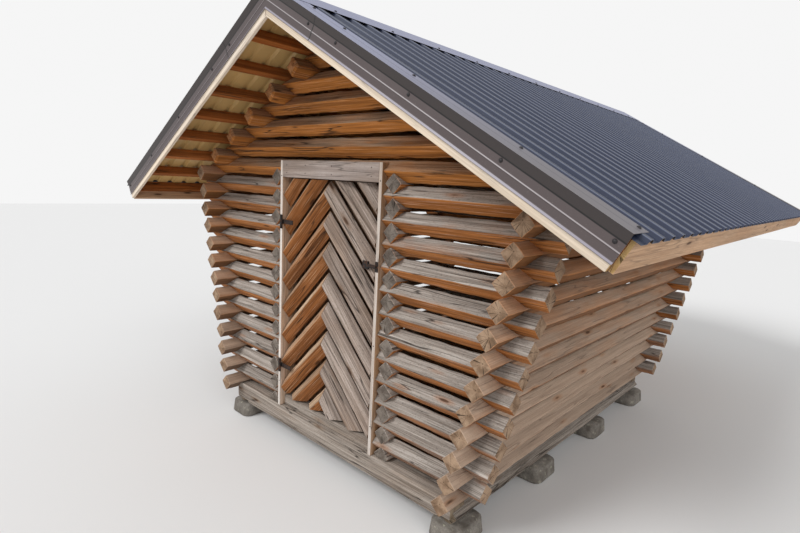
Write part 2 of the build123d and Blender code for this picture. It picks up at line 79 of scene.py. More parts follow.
def swept(section, origin, axis, across, upward, begin, end, step=0.09, wander=0.0015, worn=None,
          soft=0.002, girth=(1, 1)):
    """Surface of a sawn piece. Point (i, j) = origin + axis * (begin_j + t_i * (end_j - begin_j))
    + across * a_ij + upward * b_ij. (a, b) is the section, drawn in at both ends, worn back to a
    radius that changes with the length, scaled by the girth and moved by slow sines of the length."""
    section = np.asarray(section, float)
    origin, axis, across, upward = (np.asarray(v, float) for v in (origin, axis, across, upward))
    count = len(section)
    begin = np.broadcast_to(np.asarray(begin, float), count)
    end = np.maximum(np.broadcast_to(np.asarray(end, float), count), begin + 0.0005)
    length = float(np.max(end - begin))
    ease = min(soft / length, 0.2)
    t = np.concatenate([[0], np.linspace(ease, 1 - ease, max(2, int(length / step)) + 1), [1]])[:, None]
    u = begin + t * (end - begin)
    a = np.repeat(section[None, :, 0], len(t), 0)
    b = np.repeat(section[None, :, 1], len(t), 0)
    a[[0, -1]] -= np.clip(a[[0, -1]], -soft, soft)
    b[[0, -1]] -= np.clip(b[[0, -1]], -soft, soft)
    lot = chance.random() * 40
    phase = chance.random(12) * 6.283
    around = np.arctan2(b, a)
    radius = np.hypot(a, b)
    edge_factor = 1.0
    if worn:
        corner = np.floor(around / (math.pi / 2) + 0.5)
        chips = np.sin(u * 41 + corner * 1.7 + phase[8]) + np.sin(u * 23 + corner * 2.9 + phase[9])
        limit = worn - 0.0014 * (1 + np.sin(u * 2.3 + corner * 2.1 + phase[0])) ** 2 - 0.0012 * (1 + chips)
        edge_factor = np.minimum(radius, limit) / np.maximum(radius, 1e-6)
    swell = wander * 0.5 * (np.sin(2 * around + u * 4.1 + phase[2]) + np.sin(3 * around - u * 9.7 + phase[3]))
    factor = edge_factor * (1 + swell / np.maximum(radius, 0.01)) * np.interp(t, [0, 1], girth)
    a = a * factor + wander * (np.sin(u * 1.3 + phase[4]) + 0.5 * np.sin(u * 3.4 + phase[5]))
    b = b * factor + wander * (np.sin(u * 1.1 + phase[6]) + 0.5 * np.sin(u * 3.9 + phase[7]))
    points = origin + u[..., None] * axis + a[..., None] * across + b[..., None] * upward
    rows = len(t)
    i, j = np.meshgrid(np.arange(rows - 1), np.arange(count), indexing="ij")
    beside = (j + 1) % count
    quads = np.stack([i * count + j, i * count + beside, (i + 1) * count + beside, (i + 1) * count + j], -1)
    girdle = np.concatenate([[0], np.cumsum(np.hypot(*(np.roll(section, -1, 0) - section).T))])
    left, right = girdle[j], girdle[j + 1]
    quad_map = np.stack([
        np.stack([u[i, j], left], -1),
        np.stack([u[i, beside], right], -1),
        np.stack([u[i + 1, beside], right], -1),
        np.stack([u[i + 1, j], left], -1),
    ], -2)
    middles = points[[0, -1]].mean(1)
    ring = np.arange(count)
    after = (ring + 1) % count
    last = (rows - 1) * count
    hub = rows * count
    tris = np.concatenate([
        np.stack([np.full(count, hub), after, ring], -1),
        np.stack([np.full(count, hub + 1), last + ring, last + after], -1),
    ])
    flat = np.zeros((count, 2))
    tri_map = np.concatenate([
        np.stack([flat, section[after], section], 1),
        np.stack([flat, section, section[after]], 1),
    ])
    return {
        "points": np.concatenate([points.reshape(-1, 3), middles]),
        "quads": quads.reshape(-1, 4),
        "quad_map": quad_map.reshape(-1, 4, 2),
        "tris": tris,
        "tri_map": tri_map,
        "lot": lot,
    }


def set_in_place(name, pieces, materials, body, slot, *replaced, sharp=38):
    """One object of many swept pieces, each with its lot number, its grain map and, on its ends,
    the second material."""
    starts = np.cumsum([0] + [len(p["points"]) for p in pieces])[:-1]
    points = np.concatenate([p["points"] for p in pieces])
    lots = np.concatenate([np.full(len(p["points"]), p["lot"]) for p in pieces])
    quads = np.concatenate([p["quads"] + s for p, s in zip(pieces, starts)])
    tris = np.concatenate([p["tris"] + s for p, s in zip(pieces, starts)])
    mapped = np.concatenate([p["quad_map"].ravel() for p in pieces] + [p["tri_map"].ravel() for p in pieces])
    mesh = bpy.data.meshes.new(name)
    mesh.vertices.add(len(points))
    mesh.vertices.foreach_set("co", points.ravel())
    mesh.loops.add(quads.size + tris.size)
    mesh.loops.foreach_set("vertex_index", np.concatenate([quads.ravel(), tris.ravel()]).astype(np.int32))
    mesh.polygons.add(len(quads) + len(tris))
    first = np.concatenate([np.arange(len(quads)) * 4, quads.size + np.arange(len(tris)) * 3])
    mesh.polygons.foreach_set("loop_start", first.astype(np.int32))
    for material in materials:
        mesh.materials.append(material)
    second = 1 if len(materials) > 1 else 0
    face_material = np.concatenate([np.zeros(len(quads)), np.full(len(tris), second)])
    mesh.polygons.foreach_set("material_index", face_material.astype(np.int32))
    mesh.polygons.foreach_set("use_smooth", np.ones(len(face_material), bool))
    mesh.update(calc_edges=True)
    mesh.uv_layers.new(name="grain").data.foreach_set("uv", mapped.astype(np.float32))
    mesh.attributes.new("lot", "FLOAT", "POINT").data.foreach_set("value", lots.astype(np.float32))
    mesh.set_sharp_from_angle(angle=math.radians(sharp))
    piece = bpy.data.objects.new(name, mesh)
    bpy.context.scene.collection.objects.link(piece)
    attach(piece, body)
    if replaced:
        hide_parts(*replaced)


def tone(red, green, blue):
    """Linear colour of an sRGB one given from 0 to 255."""
    shares = (c / 255 for c in (red, green, blue))
    return tuple(((c + 0.055) / 1.055) ** 2.4 if c > 0.04 else c / 12.92 for c in shares) + (1,)


class Finish:
    """A material and the few kinds of node that every finish of this building is made from."""

    def __init__(self, name, roughness, specular=0.3):
        self.material = bpy.data.materials.new(name)
        self.material.use_nodes = True
        self.tree = self.material.node_tree
        self.surface = self.tree.nodes["Principled BSDF"]
        self.surface.inputs["Roughness"].default_value = roughness
        self.surface.inputs["Specular IOR Level"].default_value = specular

    def add(self, kind, settings=None, **sockets):
        """A node, with its settings and the value or link of each named or numbered socket."""
        made = self.tree.nodes.new("ShaderNode" + kind)
        for key, value in (settings or {}).items():
            setattr(made, key, value)
        for key, value in sockets.items():
            socket = made.inputs[int(key[1:]) if key[0] == "s" and key[1:].isdigit() else key]
            if isinstance(value, bpy.types.NodeSocket):
                self.tree.links.new(value, socket)
            else:
                socket.default_value = value
        return made

    def sum(self, operation, first, second=0.0, third=0.0, clamp=False):
        """Arithmetic on one to three values."""
        settings = {"operation": operation, "use_clamp": clamp}
        return self.add("Math", settings, s0=first, s1=second, s2=third).outputs[0]

    def distance(self, value, centre):
        """How far a value is from another."""
        return self.sum("ABSOLUTE", self.sum("SUBTRACT", value, centre))

    def parts(self, vector):
        """The three parts of a vector."""
        return self.add("SeparateXYZ", None, s0=vector).outputs

    def step(self, value, low, high, out_low=0.0, out_high=1.0):
        """Smooth step of a value between two limits."""
        ramp = self.add("MapRange", {"interpolation_type": "SMOOTHSTEP"}, s0=value, s1=low, s2=high,
                        s3=out_low, s4=out_high)
        return ramp.outputs[0]

    def noise(self, vector, scale, detail=4.0, roughness=0.55):
        """Fractal noise of a vector."""
        made = self.add("TexNoise", None, Vector=vector, Scale=scale, Detail=detail, Roughness=roughness)
        return made.outputs[0]

    def blend(self, factor, first, second, kind="MIX"):
        """Mix of two colours."""
        mixed = self.add("Mix", {"data_type": "RGBA", "blend_type": kind}, s0=factor, s6=first, s7=second)
        return mixed.outputs[2]

    def stretch(self, vector, x, y, z):
        """Vector with each part scaled."""
        return self.add("VectorMath", {"operation": "MULTIPLY"}, s0=vector, s1=(x, y, z)).outputs[0]

    def relief(self, height, depth_of_relief, strength=1.0):
        """Bump of a height in metres on the surface."""
        bump = self.add("Bump", None, Strength=strength, Distance=depth_of_relief, Height=height)
        self.tree.links.new(bump.outputs[0], self.surface.inputs["Normal"])

    def paint(self, colour):
        """Links the base colour."""
        self.tree.links.new(colour, self.surface.inputs["Base Color"])


def field_stone():
    """Grey granite: coarse patches, fine grains and spots of pale lichen."""
    finish = Finish("field_stone", 0.9, 0.2)
    place = finish.add("TexCoord").outputs["Object"]
    coarse = finish.noise(place, 9.0, 6.0, 0.65)
    grains = finish.noise(place, 160.0, 3.0, 0.6)
    lichen = finish.step(finish.noise(place, 22.0, 5.0, 0.6), 0.58, 0.68)
    colour = finish.blend(finish.step(coarse, 0.3, 0.7), tone(104, 98, 90), tone(152, 146, 138))
    colour = finish.blend(finish.step(grains, 0.35, 0.65, 0.0, 0.35), colour, tone(74, 70, 66))
    finish.paint(finish.blend(finish.sum("MULTIPLY", lichen, 0.5), colour, tone(186, 184, 166)))
    finish.relief(finish.sum("ADD", coarse, finish.sum("MULTIPLY", grains, 0.15)), 0.02)
    return finish.material


stone = field_stone()
sill_stone_top = 0.12
joist_bottom = 0.177
stones = []
sill_stone = rounded_section(0.26, 0.32, 0.06)
joist_stone = rounded_section(0.22, 0.22, 0.06)
for y in np.linspace(front + stone_inset, back - stone_inset, 4):
    for x in (-foot_half_width, foot_half_width):
        stones.append(swept(sill_stone, (x, y, 0), *standing, 0, sill_stone_top, 0.02, 0.003, soft=0.01,
                            girth=(0.99, 0.9)))
for x in joist_lines:
    stones.append(swept(joist_stone, (x, room_middle, 0), *standing, 0, joist_bottom, 0.02, 0.003, soft=0.01,
                        girth=(0.99, 0.84)))
set_in_place("field_stones", stones, [stone], "building", "stone", "foundation_stones", sharp=60)


# Side sills: the lowest timbers, laid on edge from front to back and hewn flat where they lie
# on the stones. They are of grey wood, and greyer toward the ground.
lengthways = ((0, -1, 0), (1, 0, 0), (0, 0, 1))
timber = 0.1
worn_radius = 0.0705
side_sill_level = 0.17
hewn_flat = -0.049
sill_past_wall = 0.045
edge_section = rounded_section(timber, timber, 0.0035, 45)


def scaled(colour, factor):
    """Colour with each part multiplied, and opaque."""
    return tuple(c * factor for c in colour[:3]) + (1,)


def long_grain(name, warm, grey, greyness, upward=0.45, low=0.25, knots=0.5, depth_of_grain=0.0016,
               outward=0.0, contrast=1.0, below=1.0):
    """Sawn softwood along its length. Fibres are noise drawn out along the grain map, checks are the
    level line of a slower noise, knots are scattered cells. The colour runs from the warm fresh wood to
    silver grey, by the noise, by how far the surface faces up or to the front and back, and by how
    near the ground it is. Faces that look down are multiplied by the last value, a painted shade."""
    finish = Finish(name, 0.82, 0.25)
    grain = finish.add("UVMap", {"uv_map": "grain"}).outputs[0]
    lot = finish.add("Attribute", {"attribute_name": "lot"}).outputs["Fac"]
    parts = finish.parts(grain)
    fibre = finish.add("CombineXYZ", None, s0=parts[0], s1=parts[1], s2=lot).outputs[0]
    fine = finish.noise(finish.stretch(fibre, 3.0, 210.0, 3.1), 1.0, 5.0, 0.65)
    bands = finish.noise(finish.stretch(fibre, 0.8, 34.0, 2.3), 1.0, 4.0, 0.6)
    patches = finish.noise(finish.stretch(fibre, 1.7, 9.0, 1.7), 1.0, 4.0, 0.6)
    drying = finish.noise(finish.stretch(fibre, 0.75, 15.0, 5.3), 1.0, 2.0, 0.5)
    line = finish.step(finish.distance(drying, 0.5), 0.0, 0.016, 1.0, 0.0)
    check = finish.sum("MULTIPLY", line, finish.step(patches, 0.4, 0.55))
    cells = finish.add("TexVoronoi", None, Vector=finish.stretch(fibre, 2.6, 11.0, 1.3), Scale=1.0)
    pick = finish.add("SeparateColor", None, s0=cells.outputs[1]).outputs[0]
    chosen = finish.step(pick, 1 - knots, 1.04 - knots)
    knot = finish.sum("MULTIPLY", finish.step(cells.outputs[0], 0.06, 0.14, 1.0, 0.0), chosen)
    halo = finish.sum("MULTIPLY", finish.step(cells.outputs[0], 0.1, 0.3, 1.0, 0.0), chosen)
    facing = finish.parts(finish.add("NewGeometry").outputs["Normal"])
    height = finish.parts(finish.add("TexCoord").outputs["Object"])[2]
    weather = finish.sum("MULTIPLY_ADD", facing[2], upward, greyness)
    weather = finish.sum("MULTIPLY_ADD", finish.sum("ABSOLUTE", facing[1]), outward, weather)
    weather = finish.sum("ADD", weather, finish.step(height, 0.2, 1.9, low, 0.0))
    weather = finish.sum("MULTIPLY_ADD", finish.sum("SUBTRACT", patches, 0.5), 1.3, weather)
    lot_tone = finish.add("TexWhiteNoise", {"noise_dimensions": "1D"}, W=lot).outputs[0]
    weather = finish.sum("MULTIPLY_ADD", finish.sum("SUBTRACT", lot_tone, 0.5), 0.3, weather, clamp=True)
    colour = finish.blend(weather, warm, grey)
    dark = (0.34, 0.3, 0.27, 1)
    colour = finish.blend(finish.step(bands, 0.36, 0.62, 0.6 * contrast, 0.0), colour, dark, "MULTIPLY")
    colour = finish.blend(finish.step(fine, 0.36, 0.6, 0.6 * contrast, 0.0), colour, dark, "MULTIPLY")
    speckle = finish.noise(finish.stretch(fibre, 60.0, 130.0, 2.9), 1.0, 3.0, 0.6)
    speckle = finish.sum("MULTIPLY", finish.step(speckle, 0.56, 0.68), weather)
    colour = finish.blend(finish.sum("MULTIPLY", speckle, 0.55 * contrast), colour, dark, "MULTIPLY")
    light = tuple(min(1.0, c * 1.5 + 0.05) for c in grey[:3]) + (1,)
    colour = finish.blend(finish.step(fine, 0.54, 0.74, 0.0, 0.5 * contrast), colour, light)
    colour = finish.blend(finish.sum("MULTIPLY", halo, 0.45), colour, scaled(warm, 0.6))
    colour = finish.blend(finish.sum("MULTIPLY", knot, 0.85), colour, tone(70, 42, 24))
    colour = finish.blend(finish.sum("MULTIPLY", check, 0.85 * contrast), colour, tone(34, 24, 18))
    # Tone that differs at random from timber to timber, times a painted shade that darkens the faces that
    # look down by the below value.
    lot_tone_and_painted_shade = finish.sum("MULTIPLY", finish.step(lot_tone, 0.0, 1.0, 0.88, 1.1),
                       finish.step(facing[2], -0.55, -0.25, below, 1.0))
    finish.paint(finish.add("VectorMath", {"operation": "SCALE"}, s0=colour, Scale=lot_tone_and_painted_shade).outputs[0])
    relief = finish.sum("MULTIPLY_ADD", bands, 0.7, finish.sum("MULTIPLY", fine, 0.5))
    relief = finish.sum("MULTIPLY_ADD", check, -1.6, relief)
    finish.relief(finish.sum("MULTIPLY_ADD", knot, 0.4, relief), depth_of_grain)
    return finish.material


def end_grain(name, pale, dark):
    """Sawn end: year rings around a pith a little off the middle, with splits that run out from it
    and a blotchy dark stain."""
    finish = Finish(name, 0.88, 0.2)
    place = finish.add("UVMap", {"uv_map": "grain"}).outputs[0]
    lot = finish.add("Attribute", {"attribute_name": "lot"}).outputs["Fac"]
    parts = finish.parts(place)
    aside = finish.sum("MULTIPLY", finish.sum("SINE", finish.sum("MULTIPLY", lot, 12.0)), 0.02)
    over = finish.sum("MULTIPLY", finish.sum("COSINE", finish.sum("MULTIPLY", lot, 9.0)), 0.02)
    a = finish.sum("ADD", parts[0], aside)
    b = finish.sum("ADD", parts[1], over)
    radius = finish.sum("SQRT", finish.sum("MULTIPLY_ADD", a, a, finish.sum("MULTIPLY", b, b)))
    section = finish.add("CombineXYZ", None, s0=a, s1=b, s2=lot).outputs[0]
    wobble = finish.noise(section, 30.0, 3.0)
    growth = finish.sum("MULTIPLY_ADD", wobble, 0.006, radius)
    rings = finish.sum("SINE", finish.sum("MULTIPLY", growth, 1500.0))
    stain = finish.noise(section, 14.0, 4.0, 0.6)
    bearing = finish.add("CombineXYZ", None, s0=finish.sum("ARCTAN2", b, a), s1=lot).outputs[0]
    split = finish.step(finish.distance(finish.noise(bearing, 1.6, 1.0), 0.52), 0.0, 0.012, 1.0, 0.0)
    split = finish.sum("MULTIPLY", split, finish.step(radius, 0.004, 0.02))
    colour = finish.blend(finish.step(stain, 0.32, 0.68), dark, pale)
    colour = finish.blend(finish.step(rings, -0.4, 0.9, 0.0, 0.4), colour, scaled(dark, 0.5))
    colour = finish.blend(finish.step(radius, 0.002, 0.006, 0.7, 0.0), colour, tone(60, 40, 26))
    finish.paint(finish.blend(finish.sum("MULTIPLY", split, 0.9), colour, tone(30, 22, 16)))
    relief = finish.sum("MULTIPLY_ADD", rings, 0.2, stain)
    finish.relief(finish.sum("MULTIPLY_ADD", split, -2.0, relief), 0.0015)
    return finish.material


sill_wood = long_grain("grey_sill_wood", tone(150, 118, 88), tone(164, 154, 144), 0.6, low=0.3)
grey_end = end_grain("grey_sawn_end", tone(150, 134, 114), tone(98, 82, 66))
hewn = edge_section.copy()
hewn[:, 1] = np.maximum(hewn[:, 1], hewn_flat)
for side, name in ((-1, "left_side_sill"), (1, "right_side_sill")):
    sill = swept(hewn, (side * foot_half_width, room_middle, side_sill_level), *lengthways,
                 -depth / 2 - sill_past_wall, depth / 2 + sill_past_wall, worn=worn_radius)
    set_in_place("hewn_" + name, [sill], [sill_wood, grey_end], "building", "sill_wood", name)


# Front and back sills: heavier squared timbers notched over the side sills, with a board below
# them that closes the slot. They are grey and split, and greyer toward the ground.
crossing = ((1, 0, 0), (0, 1, 0), (0, 0, 1))
sill_width = 0.15
sill_height = 0.14
sill_level = 0.235
sill_half_length = 1.228
skirt_past_wall = 0.0325
skirt_level = 0.145
skirt_half_length = 1.11
sill_section = rounded_section(sill_width, sill_height, 0.008)
skirt_section = rounded_section(0.025, 0.04, 0.002)
for y, name in ((front, "front_sill"), (back, "back_sill")):
    beam = swept(sill_section, (0, y, sill_level), *crossing, -sill_half_length, sill_half_length,
                 wander=0.001)
    set_in_place("squared_" + name, [beam], [sill_wood, grey_end], "building", "sill_wood", name)
skirts = [
    swept(skirt_section, (0, y, skirt_level), *crossing, -skirt_half_length, skirt_half_length, wander=0.0008)
    for y in (front - skirt_past_wall, back + skirt_past_wall)
]
set_in_place("boards_below_sills", skirts, [sill_wood, grey_end], "building", "sill_wood", "skirt_boards")


# Floor: four sawn joists from sill to sill, and boards nailed across them with narrow gaps. The
# wood is browner than the sills', since it lies dry.
floor_wood = long_grain("floor_wood", tone(168, 126, 84), tone(150, 132, 112), 0.3, upward=0.1, low=0.0)
fresh_end = end_grain("floor_board_end", tone(186, 150, 108), tone(140, 104, 70))
joist = 0.1
floor_half_length = (depth - sill_width) / 2
floor_half_width = 1.15
floor_thickness = 0.028
floor_level = 0.291
floor_board_count = 24
board_gap = 0.004
sawn_short = 0.004
joist_section = rounded_section(joist, joist, 0.003)
joists = [
    swept(joist_section, (x, room_middle, joist_bottom + joist / 2), *lengthways, -floor_half_length,
          floor_half_length, 0.3, 0.0006)
    for x in joist_lines
]
set_in_place("sawn_joists", joists, [floor_wood, fresh_end], "building", "floor_wood", "floor_joists")
board_pitch = 2 * floor_half_length / floor_board_count
floor_section = rounded_section(board_pitch - board_gap, floor_thickness, 0.002)
boards = [
    swept(floor_section, (0, front + sill_width / 2 + board_pitch * (n + 0.5), floor_level), *crossing,
          -floor_half_width + chance.random() * sawn_short, floor_half_width - chance.random() * sawn_short,
          0.3, 0.0004)
    for n in range(floor_board_count)
]
set_in_place("nailed_floor_boards", boards, [floor_wood, fresh_end], "building", "floor_wood", "floor_boards")


# Side walls: thirteen squared timbers on edge, each stepping outward over the last, notched over
# the front and back timbers. Silver above, orange brown below, with grey at the foot of the wall and
# painted shade on the faces that look down.
course = 0.155
lean = 0.223
wall_courses = 13
gable_courses = 5
side_overrun = 0.207
purlin_half_length = 2.582
timber_wander = 0.0022
wall_wood = long_grain("wall_timber_wood", tone(196, 126, 66), tone(178, 170, 162), 0.26, upward=1.15,
                       low=0.9)
wall_end = end_grain("wall_timber_end", tone(180, 152, 126), tone(130, 104, 82))
# The side timbers' faces that look down are darkened to 0.4 of their colour: painted shade.
side_wood = long_grain("side_timber_wood", tone(198, 132, 76), tone(182, 158, 138), 0.3, upward=0.4, low=0.8,
                       knots=0.7, depth_of_grain=0.0009, contrast=0.42, below=0.4)


def side_level(number):
    """Height of a side timber's middle."""
    return side_sill_level + course * number


def wall_line(level):
    """Distance of the leaning wall from the middle of the building at a height."""
    return foot_half_width + lean * (level - side_sill_level)


def lengthwise(x, level, half_length=purlin_half_length, middle=0.0, step=0.05, soft=0.002):
    """A timber on edge from front to back, its ends sawn a few millimetres short of the full length."""
    short = chance.random(2) * 0.014
    return swept(edge_section, (x, middle, level), *lengthways, -half_length + short[0],
                 half_length - short[1], step, timber_wander, worn_radius, soft)


for side, name in ((-1, "left_wall_timbers"), (1, "right_wall_timbers")):
    wall = [
        lengthwise(side * wall_line(side_level(n)), side_level(n), depth / 2 + side_overrun, room_middle)
        for n in range(1, wall_courses + 1)
    ]
    set_in_place("leaning_" + name, wall, [side_wood, wall_end], "building", "wall_wood", name)


# Front and back walls: timbers on edge half a course above the side ones and notched over them.
# Those of the gables, and the long one over the door, are sawn off along the slope of the roof.
cross_overrun = 0.186
purlin_step = 0.2775
eave_step = 0.2365
purlin_drop = 0.012
batten_seat = 0.075
top_course = wall_courses + gable_courses
first_purlin = wall_line(side_level(wall_courses)) - eave_step - purlin_step * (gable_courses - 1)
slope = math.atan2(course, purlin_step)
slope_cos = math.cos(slope)
slope_sin = math.sin(slope)
apex = side_level(top_course) + first_purlin * slope_sin / slope_cos + purlin_drop / slope_cos


def crosswise(y, number, start=None, stop=None, trimmed=False):
    """A timber on edge across the building. Where it is trimmed, each line of its surface stops at the
    roof: at x = (seat - (z - apex) * cos) / sin of the slope."""
    level = side_level(number) + course / 2
    reach = wall_line(level) + cross_overrun
    short = chance.random(2) * 0.012
    start = -reach + short[0] if start is None else start
    stop = reach - short[1] if stop is None else stop
    if trimmed:
        above_apex = level + edge_section[:, 1] - apex
        at_roof = (batten_seat - 0.002 - above_apex * slope_cos) / slope_sin
        start = np.maximum(start, -at_roof)
        stop = np.minimum(stop, at_roof)
    return swept(edge_section, (0, y, level), *crossing, start, stop, 0.045, timber_wander, worn_radius)


opening_left = -0.554
opening_right = 0.502
jamb = 0.028
hairline = 0.001
beside_door = range(1, wall_courses)
left_part = [crosswise(front, n, stop=opening_left - jamb - hairline) for n in beside_door]
right_part = [crosswise(front, n, start=opening_right + jamb + hairline) for n in beside_door]
set_in_place("front_timbers_left", left_part, [wall_wood, wall_end], "building", "wall_wood",
             "front_wall_timbers_left")
set_in_place("front_timbers_right", right_part, [wall_wood, wall_end], "building", "wall_wood",
             "front_wall_timbers_right")
gable_wood = long_grain("gable_timber_wood", tone(200, 128, 60), tone(166, 148, 128), 0.1, upward=0.85,
                        low=0.0)
gable_end = end_grain("gable_timber_end", tone(200, 144, 98), tone(150, 100, 62))
front_gable = [crosswise(front, n, trimmed=True) for n in range(wall_courses, top_course + 1)]
set_in_place("gable_timbers", front_gable, [gable_wood, gable_end], "building", "wall_wood",
             "front_gable_timbers")
back_wall = [crosswise(back, n, trimmed=n == wall_courses) for n in range(1, wall_courses + 1)]
set_in_place("rear_timbers", back_wall, [wall_wood, wall_end], "building", "wall_wood", "back_wall_timbers")
back_gable = [crosswise(back, n, trimmed=True) for n in range(wall_courses + 1, top_course + 1)]
set_in_place("rear_gable_timbers", back_gable, [gable_wood, wall_end], "building", "wall_wood",
             "back_gable_timbers")


# Doorway blocks: short lengths of the same timber that carry the cut ends beside the door. Their
# ends are greyer than the others', and darker, which is painted shade.
block_setback = 0.08
block_half_length = 0.07
left_block = opening_left - jamb - block_setback
right_block = opening_right + jamb + block_setback
# Grey end grain, darkened with painted shade.
grey_block_end_with_painted_shade = end_grain("grey_block_end_with_painted_shade", tone(140, 130, 120), tone(98, 88, 80))
for x, name in ((left_block, "doorway_blocks_left"), (right_block, "doorway_blocks_right")):
    blocks = [
        lengthwise(x, side_level(n), block_half_length, front, 0.03) for n in range(1, wall_courses + 1)
    ]
    set_in_place("short_" + name, blocks, [wall_wood, grey_block_end_with_painted_shade], "building", "wall_wood", name)


# Purlins: the side walls' timbers carried on up the gables under the roof, and one at the ridge.
# They run on behind the back gable and carry the roof over the open bay.
for side, name in ((-1, "purlins_left"), (1, "purlins_right")):
    purlins = [
        lengthwise(side * (first_purlin + purlin_step * n), side_level(top_course - n), soft=0.012)
        for n in range(gable_courses)
    ]
    set_in_place("roof_" + name, purlins, [gable_wood, gable_end], "building", "wall_wood", name)
top_purlin = [lengthwise(0, side_level(top_course + 1))]
set_in_place("timber_at_ridge", top_purlin, [gable_wood, gable_end], "building", "wall_wood", "ridge_purlin")


# Battens: sawn planks on edge that run the length of the roof, from barge board to barge board,
# and carry the sheets. They are orange brown, as fresh wood is.
roof_half_length = 2.975
barge_length = 2.496
board = 0.022
between_barges = roof_half_length - board - hairline
batten_width = 0.048
batten_height = 0.075
batten_spacing = 0.313
batten_count = 8
batten_wood = long_grain("batten_wood", tone(176, 102, 44), tone(160, 112, 68), 0.15, upward=0.1, low=0.0,
                         knots=0.6, contrast=0.8)
batten_end = end_grain("batten_end", tone(178, 128, 80), tone(120, 78, 44))
batten_section = rounded_section(batten_width, batten_height, 0.002)


def on_slope(side, down, up, y=0.0):
    """Point of a roof slope: down it from the ridge line and up square to it."""
    return (side * (down * slope_cos + up * slope_sin), y, apex - down * slope_sin + up * slope_cos)


def slope_frame(side):
    """The roof's length, the way down its slope, and the way up square to it, as a right-handed set."""
    return (0, -side, 0), (side * slope_cos, 0, -slope_sin), (side * slope_sin, 0, slope_cos)


def batten_line(number):
    """Distance of a batten's middle down the slope, from the eave up."""
    return barge_length - batten_width / 2 - batten_spacing * number


for side, name in ((-1, "battens_left"), (1, "battens_right")):
    battens = [
        swept(batten_section, on_slope(side, batten_line(n), batten_seat + batten_height / 2),
              *slope_frame(side), -between_barges, between_barges, 0.25, 0.0006)
        for n in range(batten_count)
    ]
    set_in_place("sheet_" + name, battens, [batten_wood, batten_end], "building", "roof_wood", name)


# Barge boards and eave fascias: planed pale boards nailed to the battens' ends and along the eaves.
# The metal trim covers the upper part of each barge board, which leaves a narrow pale strip.
board_height = 0.145
fascia_drop = 0.003
pale_wood = long_grain("pale_board_wood", tone(240, 220, 194), tone(238, 226, 212), 0.45, upward=0.1, low=0.0,
                       knots=0.65, depth_of_grain=0.0006, contrast=0.35)
fascia_wood = long_grain("fascia_board_wood", tone(206, 164, 128), tone(214, 186, 158), 0.35, upward=0.1,
                         low=0.0, knots=0.75, depth_of_grain=0.0006, contrast=0.45)
pale_end = end_grain("pale_board_end", tone(214, 182, 128), tone(176, 138, 88))
board_section = rounded_section(board, board_height, 0.002)
mitre_line = -(board_section[:, 1] + board_height / 2) * slope_sin / slope_cos
fascia_middle = fascia_drop + board_height / 2
for side, name in ((-1, "left"), (1, "right")):
    along, down_slope, up_slope = slope_frame(side)
    barges = []
    for end in (-1, 1):
        origin = on_slope(side, 0, board_height / 2, end * (roof_half_length - board / 2))
        barges.append(swept(board_section, origin, down_slope, (0, side, 0), up_slope, mitre_line + hairline,
                            barge_length - hairline, 0.2, 0.0003))
    set_in_place("barge_boards_" + name + "_pale", barges, [pale_wood, pale_end], "building", "pale_board",
                 "barge_boards_" + name)
    fascia = swept(board_section, on_slope(side, barge_length + board / 2, fascia_middle), along, down_slope,
                   up_slope, -between_barges, between_barges, 0.2, 0.0004)
    set_in_place("fascia_" + name + "_pale", [fascia], [fascia_wood, pale_end], "building", "pale_board",
                 "eave_fascia_" + name)


# Roof sheets: ribbed steel with a dark satin paint above and a cream primer below, screwed to the
# battens. It is dusty in streaks that run down the slope.
rib_pitch = 0.1375
rib_half_crest = 0.013


def factory_paint(name, paint, dust, roughness):
    """Paint on steel: slow changes of tone, streaks of dust down the slope and fine specks, which
    dull it too. Gives the finish, the slow noise and the colour."""
    finish = Finish(name, roughness, 0.5)
    place = finish.add("TexCoord").outputs["Object"]
    slow = finish.noise(place, 1.6, 4.0, 0.6)
    streaks = finish.noise(finish.stretch(place, 1.2, 28.0, 1.2), 1.0, 4.0, 0.6)
    specks = finish.step(finish.noise(place, 190.0, 2.0), 0.66, 0.74)
    dusty = finish.sum("MULTIPLY", finish.step(streaks, 0.45, 0.8), finish.step(slow, 0.3, 0.7, 0.25, 0.8))
    gloss = finish.sum("MULTIPLY_ADD", finish.sum("SUBTRACT", slow, 0.5), 0.12, roughness)
    dull = finish.sum("MULTIPLY_ADD", dusty, 0.2, gloss)
    finish.tree.links.new(dull, finish.surface.inputs["Roughness"])
    finish.relief(finish.sum("MULTIPLY_ADD", specks, 0.2, slow), 0.0008, 0.5)
    colour = finish.blend(dusty, paint, dust)
    colour = finish.blend(finish.sum("MULTIPLY", specks, 0.2), colour, tone(150, 146, 138))
    return finish, slow, colour


def from_ridge(finish, outward, upward):
    """Distance of a point from the ridge line: |x| * outward + (z - apex) * upward."""
    x, _, z = finish.parts(finish.add("TexCoord").outputs["Object"])
    rise = finish.sum("MULTIPLY", finish.sum("SUBTRACT", z, apex), upward)
    return finish.sum("MULTIPLY_ADD", finish.sum("ABSOLUTE", x), outward, rise)


